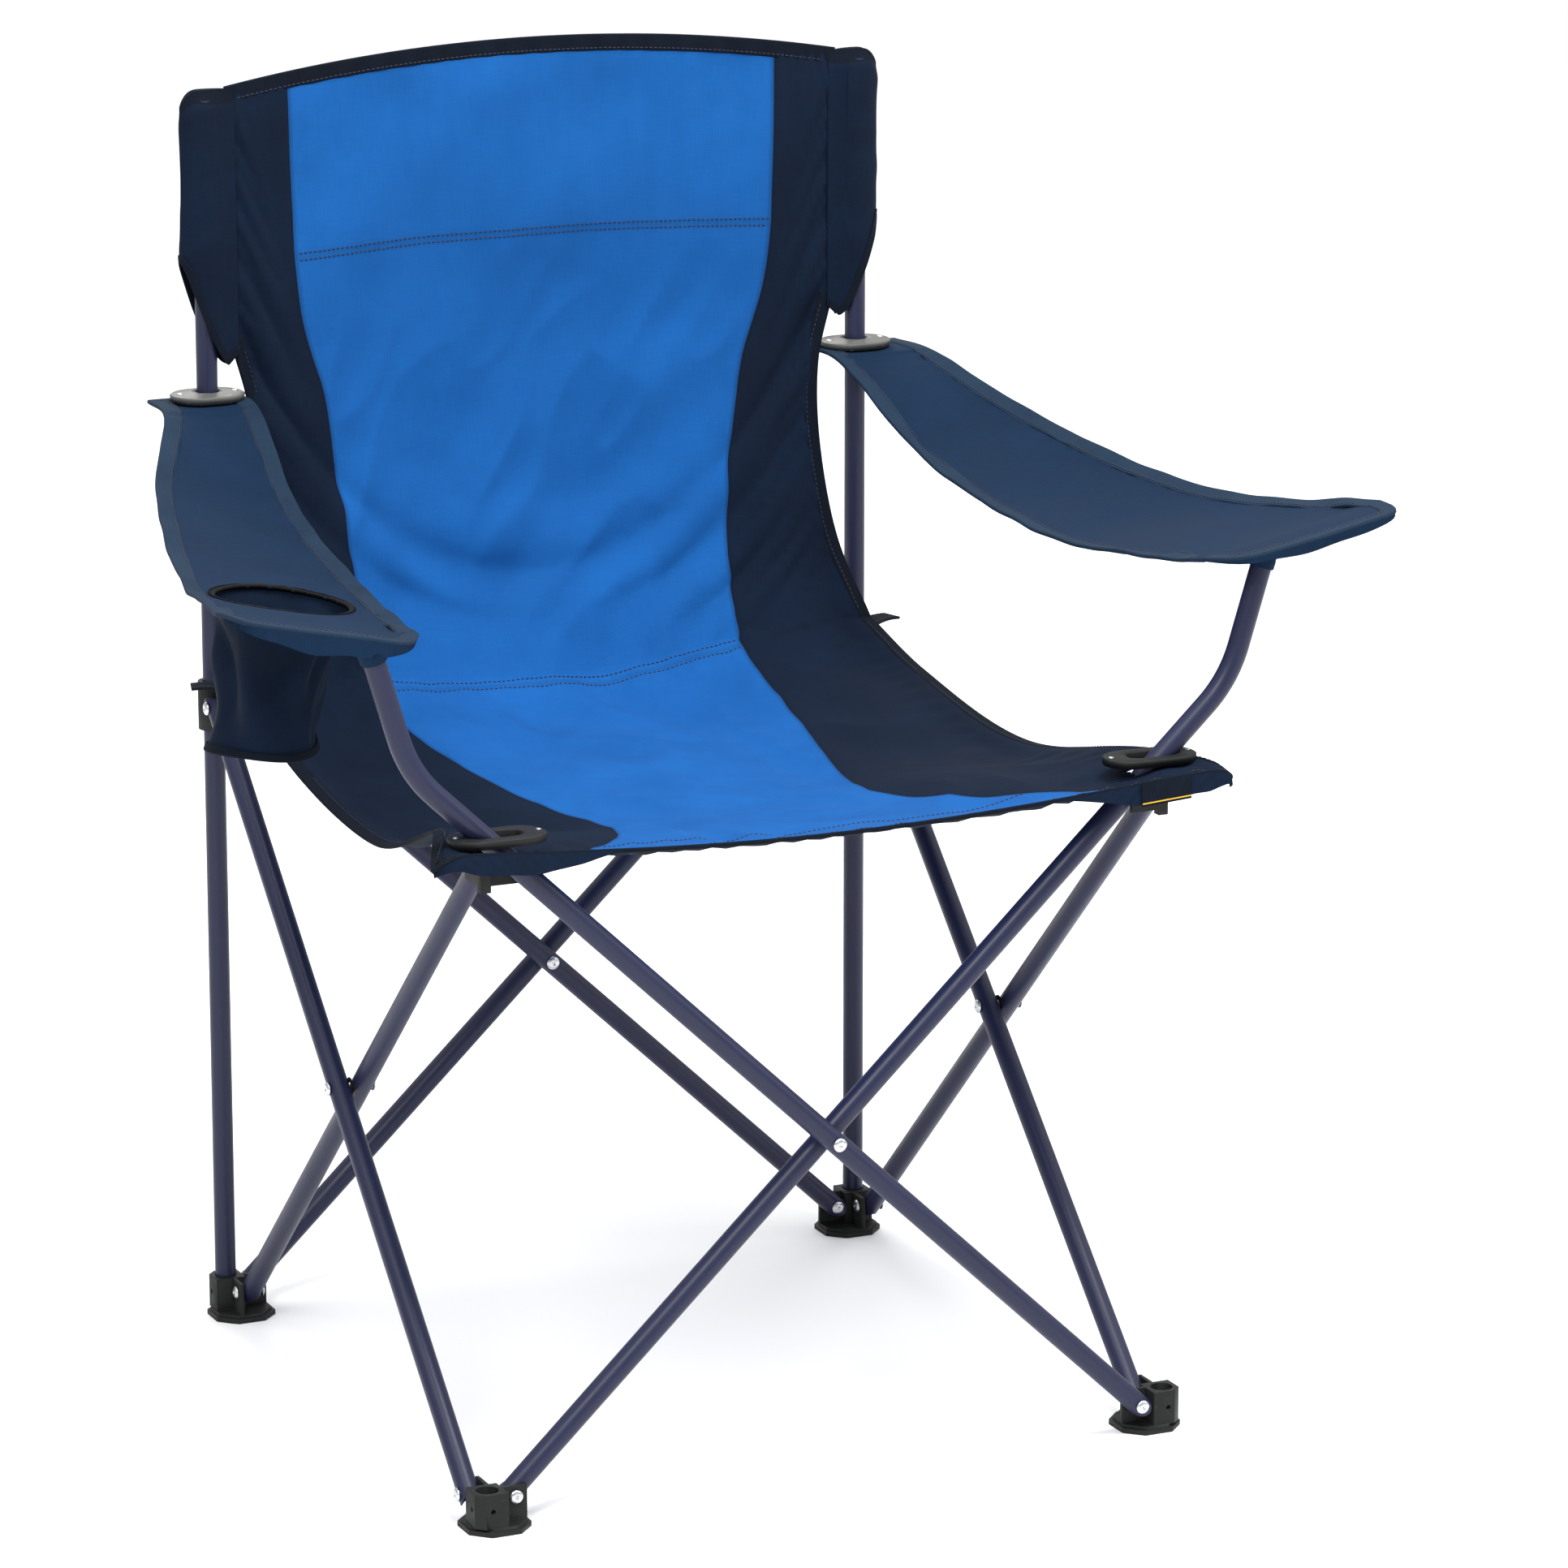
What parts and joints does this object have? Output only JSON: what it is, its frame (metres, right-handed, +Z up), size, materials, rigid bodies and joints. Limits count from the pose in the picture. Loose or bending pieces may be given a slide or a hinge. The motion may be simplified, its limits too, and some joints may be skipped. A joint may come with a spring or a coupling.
{
  "type": "folding camp chair",
  "caption": "Folding camp chair: crossed steel tubes and rear posts under a fabric back, seat and armrests with a cup holder; closes into a narrow upright bundle",
  "frame": {"origin": "on the floor, under the middle of the square of feet", "axes": "+X is the viewer's right when facing the chair, the chair faces -Y, +Z is up"},
  "size_m": [0.8644, 0.5633, 0.9171],
  "materials": {
    "tube_paint": "satin dark blue powder coat",
    "moulded_plastic": "fine grained moulded plastic",
    "rivet_zinc": "bright zinc plated",
    "blue_cloth": "woven polyester",
    "navy_cloth": "woven polyester",
    "silver_plastic": "silver grey moulded plastic"
  },
  "bodies": {
    "rear_left_post": {"foot_rear_left": "moulded_plastic", "post_left": "tube_paint", "rear_rivet_foot_outer": "rivet_zinc", "left_rivet_foot_inner": "rivet_zinc", "back_panel": "blue_cloth", "back_sleeve_left": "navy_cloth", "armrest_plate_left": "silver_plastic"},
    "rear_outer_tube": {"rear_tube_outer": "tube_paint", "rear_rivet_centre": "rivet_zinc", "rear_spacer": "moulded_plastic"},
    "rear_inner_tube": {"rear_tube_inner": "tube_paint"},
    "rear_right_post": {"foot_rear_right": "moulded_plastic", "post_right": "tube_paint", "rear_rivet_foot_inner": "rivet_zinc", "right_rivet_foot_outer": "rivet_zinc", "back_sleeve_right": "navy_cloth", "armrest_plate_right": "silver_plastic"},
    "left_slider": {"slider_left": "moulded_plastic", "rear_rivet_top_inner": "rivet_zinc", "left_rivet_top_outer": "rivet_zinc", "seat_tab_left": "navy_cloth"},
    "right_slider": {"slider_right": "moulded_plastic", "rear_rivet_top_outer": "rivet_zinc", "right_rivet_top_inner": "rivet_zinc", "seat_tab_right": "navy_cloth"},
    "left_inner_tube": {"left_tube_inner": "tube_paint"},
    "left_outer_tube": {"left_tube_outer": "tube_paint", "left_rivet_centre": "rivet_zinc", "left_spacer": "moulded_plastic"},
    "front_left_foot": {"foot_front_left": "moulded_plastic", "left_rivet_foot_outer": "rivet_zinc", "front_rivet_foot_inner": "rivet_zinc"},
    "left_hub": {"hub_left": "moulded_plastic", "left_rivet_top_inner": "rivet_zinc", "front_rivet_top_outer": "rivet_zinc", "seat_plate_left": "moulded_plastic", "seat_front_band": "navy_cloth"},
    "front_inner_tube": {"front_tube_inner": "tube_paint"},
    "front_outer_tube": {"front_tube_outer": "tube_paint", "front_rivet_centre": "rivet_zinc", "front_spacer": "moulded_plastic"},
    "front_right_foot": {"foot_front_right": "moulded_plastic", "front_rivet_foot_outer": "rivet_zinc", "right_rivet_foot_inner": "rivet_zinc"},
    "right_hub": {"hub_right": "moulded_plastic", "front_rivet_top_inner": "rivet_zinc", "right_rivet_top_outer": "rivet_zinc", "seat_plate_right": "moulded_plastic"},
    "right_outer_tube": {"right_tube_outer": "tube_paint", "right_rivet_centre": "rivet_zinc", "right_spacer": "moulded_plastic"},
    "right_inner_tube": {"right_tube_inner": "tube_paint"},
    "seat_front_fabric": {"seat_front": "blue_cloth"},
    "seat_rear_fabric": {"seat_rear": "blue_cloth"},
    "left_armrest_rear_fabric": {"armrest_left_rear": "navy_cloth"},
    "left_armrest_front_fabric": {"armrest_left_front": "navy_cloth", "cup_holder": "navy_cloth"},
    "right_armrest_rear_fabric": {"armrest_right_rear": "navy_cloth"},
    "right_armrest_front_fabric": {"armrest_right_front": "navy_cloth"}
  },
  "joints": [
    {"name": "fold", "type": "hinge", "parent": "rear_left_post", "child": "rear_outer_tube", "pos_m": [-0.231, 0.257, 0.021], "axis": [0, -1, 0], "range_deg": [0, 36.5], "deforming": ["back_panel", "seat_front_band", "seat_front", "seat_rear", "armrest_left_rear", "armrest_left_front", "armrest_right_rear", "armrest_right_front", "cup_holder", "seat_tab_left", "seat_tab_right"]},
    {"name": "rear_crossing", "type": "hinge", "parent": "rear_outer_tube", "child": "rear_inner_tube", "pos_m": [0, 0.2405, 0.2395], "axis": [0, 1, 0], "range_deg": [0, 73.02]},
    {"name": "rear_right_foot_pivot", "type": "hinge", "parent": "rear_inner_tube", "child": "rear_right_post", "pos_m": [0.231, 0.2405, 0.021], "axis": [0, -1, 0], "range_deg": [0, 36.52]},
    {"name": "left_slider_pivot", "type": "hinge", "parent": "rear_inner_tube", "child": "left_slider", "pos_m": [-0.231, 0.2405, 0.458], "axis": [0, -1, 0], "range_deg": [0, 36.52]},
    {"name": "right_slider_pivot", "type": "hinge", "parent": "rear_outer_tube", "child": "right_slider", "pos_m": [0.231, 0.257, 0.458], "axis": [0, 1, 0], "range_deg": [0, 36.52]},
    {"name": "rear_left_foot_pivot", "type": "hinge", "parent": "rear_left_post", "child": "left_inner_tube", "pos_m": [-0.2405, 0.231, 0.021], "axis": [-1, 0, 0], "range_deg": [0, 36.52]},
    {"name": "left_crossing", "type": "hinge", "parent": "left_inner_tube", "child": "left_outer_tube", "pos_m": [-0.2405, 0, 0.2395], "axis": [1, 0, 0], "range_deg": [0, 73.02]},
    {"name": "front_left_foot_pivot", "type": "hinge", "parent": "left_outer_tube", "child": "front_left_foot", "pos_m": [-0.257, -0.231, 0.021], "axis": [-1, 0, 0], "range_deg": [0, 36.52]},
    {"name": "left_hub_pivot", "type": "hinge", "parent": "left_inner_tube", "child": "left_hub", "pos_m": [-0.2405, -0.231, 0.458], "axis": [1, 0, 0], "range_deg": [0, 36.52]},
    {"name": "front_inner_foot_pivot", "type": "hinge", "parent": "front_left_foot", "child": "front_inner_tube", "pos_m": [-0.231, -0.2405, 0.021], "axis": [0, -1, 0], "range_deg": [0, 36.52]},
    {"name": "front_crossing", "type": "hinge", "parent": "front_inner_tube", "child": "front_outer_tube", "pos_m": [0, -0.257, 0.2395], "axis": [0, 1, 0], "range_deg": [0, 73.02]},
    {"name": "front_right_foot_pivot", "type": "hinge", "parent": "front_outer_tube", "child": "front_right_foot", "pos_m": [0.231, -0.257, 0.021], "axis": [0, -1, 0], "range_deg": [0, 36.52]},
    {"name": "right_hub_pivot", "type": "hinge", "parent": "front_inner_tube", "child": "right_hub", "pos_m": [0.231, -0.2405, 0.458], "axis": [0, 1, 0], "range_deg": [0, 36.52]},
    {"name": "right_outer_foot_pivot", "type": "hinge", "parent": "rear_right_post", "child": "right_outer_tube", "pos_m": [0.257, 0.231, 0.021], "axis": [-1, 0, 0], "range_deg": [0, 36.52]},
    {"name": "right_crossing", "type": "hinge", "parent": "right_outer_tube", "child": "right_inner_tube", "pos_m": [0.257, 0, 0.2395], "axis": [1, 0, 0], "range_deg": [0, 73.02]},
    {"name": "seat_front_fold", "type": "hinge", "parent": "left_hub", "child": "seat_front_fabric", "pos_m": [0, -0.2225, 0.466], "axis": [-1, 0, 0], "range_deg": [0, 72.45]},
    {"name": "seat_rear_fold", "type": "hinge", "parent": "rear_left_post", "child": "seat_rear_fabric", "pos_m": [0, 0.213, 0.462], "axis": [1, 0, 0], "range_deg": [0, 81.32]},
    {"name": "left_armrest_rear_fold", "type": "hinge", "parent": "rear_left_post", "child": "left_armrest_rear_fabric", "pos_m": [-0.263, 0.226, 0.673], "axis": [0.9369, 0.1597, 0.3109], "range_deg": [0, 64.33]},
    {"name": "left_armrest_front_fold", "type": "hinge", "parent": "front_outer_tube", "child": "left_armrest_front_fabric", "pos_m": [-0.32968, -0.257, 0.61524], "axis": [-0.7967, -0.5752, 0.1853], "range_deg": [0, 102.64]},
    {"name": "right_armrest_rear_fold", "type": "hinge", "parent": "rear_right_post", "child": "right_armrest_rear_fabric", "pos_m": [0.263, 0.226, 0.673], "axis": [0.9038, -0.1817, -0.3876], "range_deg": [0, 57.31]},
    {"name": "right_armrest_front_fold", "type": "hinge", "parent": "front_inner_tube", "child": "right_armrest_front_fabric", "pos_m": [0.32968, -0.2405, 0.61524], "axis": [-0.822, 0.5388, -0.1846], "range_deg": [0, 107.97]}
  ],
  "couplings": [
    {"joint": "rear_crossing", "follows": "fold", "ratio": 2},
    {"joint": "rear_right_foot_pivot", "follows": "fold", "ratio": 1},
    {"joint": "left_slider_pivot", "follows": "fold", "ratio": 1},
    {"joint": "right_slider_pivot", "follows": "fold", "ratio": 1},
    {"joint": "rear_left_foot_pivot", "follows": "fold", "ratio": 1},
    {"joint": "left_crossing", "follows": "fold", "ratio": 2},
    {"joint": "front_left_foot_pivot", "follows": "fold", "ratio": 1},
    {"joint": "left_hub_pivot", "follows": "fold", "ratio": 1},
    {"joint": "front_inner_foot_pivot", "follows": "fold", "ratio": 1},
    {"joint": "front_crossing", "follows": "fold", "ratio": 2},
    {"joint": "front_right_foot_pivot", "follows": "fold", "ratio": 1},
    {"joint": "right_hub_pivot", "follows": "fold", "ratio": 1},
    {"joint": "right_outer_foot_pivot", "follows": "fold", "ratio": 1},
    {"joint": "right_crossing", "follows": "fold", "ratio": 2},
    {"joint": "seat_front_fold", "follows": "fold", "ratio": 1.9844},
    {"joint": "seat_rear_fold", "follows": "fold", "ratio": 2.2274},
    {"joint": "left_armrest_rear_fold", "follows": "fold", "ratio": 1.7619},
    {"joint": "left_armrest_front_fold", "follows": "fold", "ratio": 2.8115},
    {"joint": "right_armrest_rear_fold", "follows": "fold", "ratio": 1.5695},
    {"joint": "right_armrest_front_fold", "follows": "fold", "ratio": 2.9574}
  ]
}
